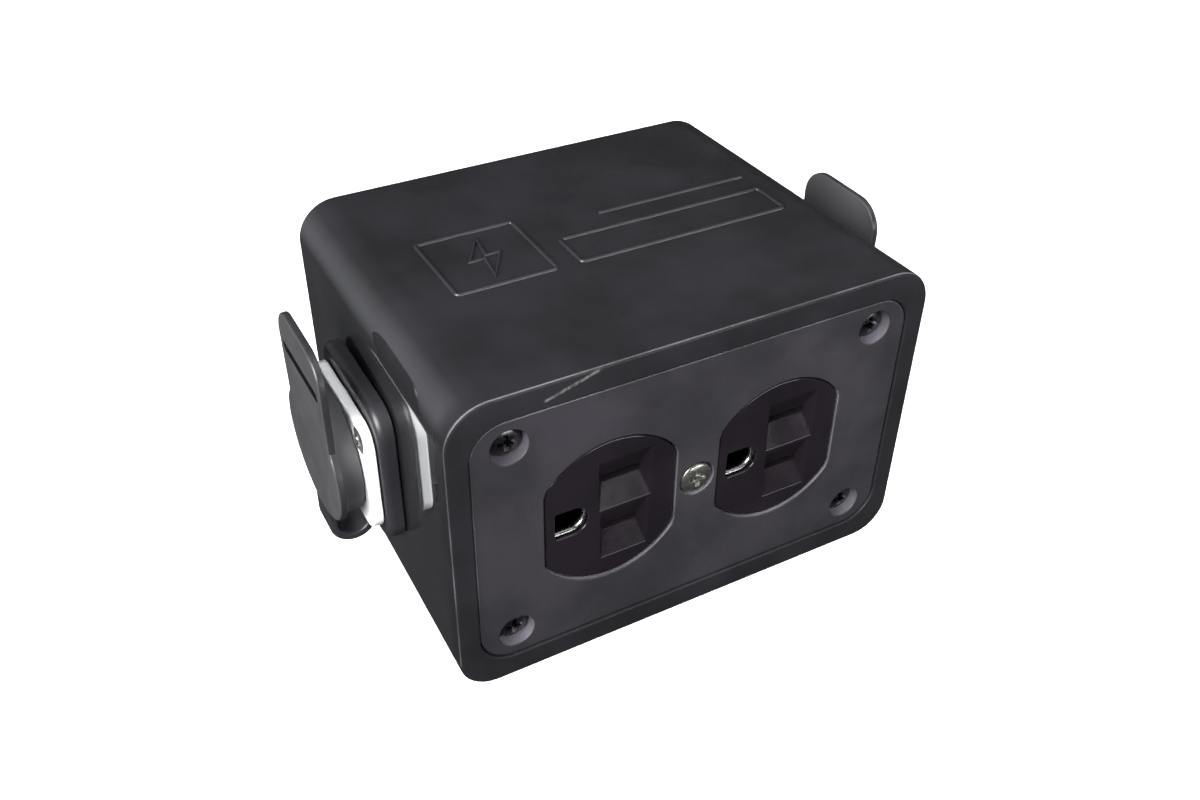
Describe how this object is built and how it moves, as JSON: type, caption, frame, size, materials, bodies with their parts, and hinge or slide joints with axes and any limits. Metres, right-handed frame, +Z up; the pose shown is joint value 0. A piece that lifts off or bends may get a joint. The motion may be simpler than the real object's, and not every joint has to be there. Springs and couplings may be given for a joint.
{
  "type": "portable power distribution box",
  "caption": "Moulded rubber box with a duplex socket outlet in its front cover and a locking power connector on each side, each under a hinged rubber lid.",
  "frame": {"origin": "centre of the flat bottom, on the surface that the box stands on", "axes": "+X to the right seen from the front, +Y from the front cover to the back wall, +Z up"},
  "size_m": [0.1304, 0.085, 0.0705],
  "materials": {
    "housing_rubber": "satin",
    "soft_rubber": "matte",
    "cover_plastic": "satin",
    "receptacle_plastic": "gloss",
    "white_nylon": "satin",
    "grey_nylon": "satin",
    "steel": "zinc plated",
    "black_screw": "black oxide",
    "brass": "plain",
    "green_screw": "green plated",
    "black_wire": "insulation",
    "white_wire": "insulation",
    "green_wire": "insulation",
    "red_nylon": "satin"
  },
  "bodies": {
    "box": {"housing": "housing_rubber", "cover_plate": "cover_plastic", "cover_screw_1": "black_screw", "cover_screw_2": "black_screw", "cover_screw_3": "black_screw", "cover_screw_4": "black_screw", "face_screw": "steel", "receptacle_face": "receptacle_plastic", "receptacle_base": "receptacle_plastic", "receptacle_yoke": "steel", "neutral_bus": "brass", "hot_bus": "brass", "receptacle_ground_clip_1": "brass", "receptacle_ground_clip_2": "brass", "yoke_screw_1": "steel", "yoke_screw_2": "steel", "neutral_terminal_screw_1": "steel", "neutral_terminal_screw_2": "steel", "hot_terminal_screw_1": "brass", "hot_terminal_screw_2": "brass", "ground_screw": "green_screw", "right_seal_frame": "soft_rubber", "right_connector_flange": "white_nylon", "right_socket_insert": "grey_nylon", "right_line_contact": "brass", "right_neutral_contact": "brass", "right_ground_contact": "brass", "right_flange_screw_1": "steel", "right_flange_screw_2": "steel", "right_flange_nut_1": "steel", "right_flange_nut_2": "steel", "right_strap_root": "soft_rubber", "left_seal_frame": "soft_rubber", "left_connector_flange": "white_nylon", "left_socket_insert": "grey_nylon", "left_line_contact": "brass", "left_neutral_contact": "brass", "left_ground_contact": "brass", "left_flange_screw_1": "steel", "left_flange_screw_2": "steel", "left_flange_nut_1": "steel", "left_flange_nut_2": "steel", "left_strap_root": "soft_rubber", "right_neutral_wire": "white_wire", "right_line_wire": "black_wire", "right_ground_wire": "green_wire", "left_neutral_wire": "white_wire", "left_line_wire": "black_wire", "left_ground_wire": "green_wire", "ground_pigtail": "green_wire", "wire_nut": "red_nylon"},
    "right_cover": {"right_lid": "soft_rubber", "right_strap_tip": "soft_rubber"},
    "left_cover": {"left_lid": "soft_rubber", "left_strap_tip": "soft_rubber"}
  },
  "joints": [
    {"name": "right_lid_hinge", "type": "hinge", "parent": "box", "child": "right_cover", "pos_m": [0.06, 0, 0.0134], "axis": [0, 1, 0], "range_deg": [0, 95], "stiffness_Nm_per_rad": 0.005, "springref_deg": -17.19},
    {"name": "left_lid_hinge", "type": "hinge", "parent": "box", "child": "left_cover", "pos_m": [-0.06, 0, 0.0134], "axis": [0, -1, 0], "range_deg": [0, 95], "stiffness_Nm_per_rad": 0.005, "springref_deg": -17.19}
  ]
}
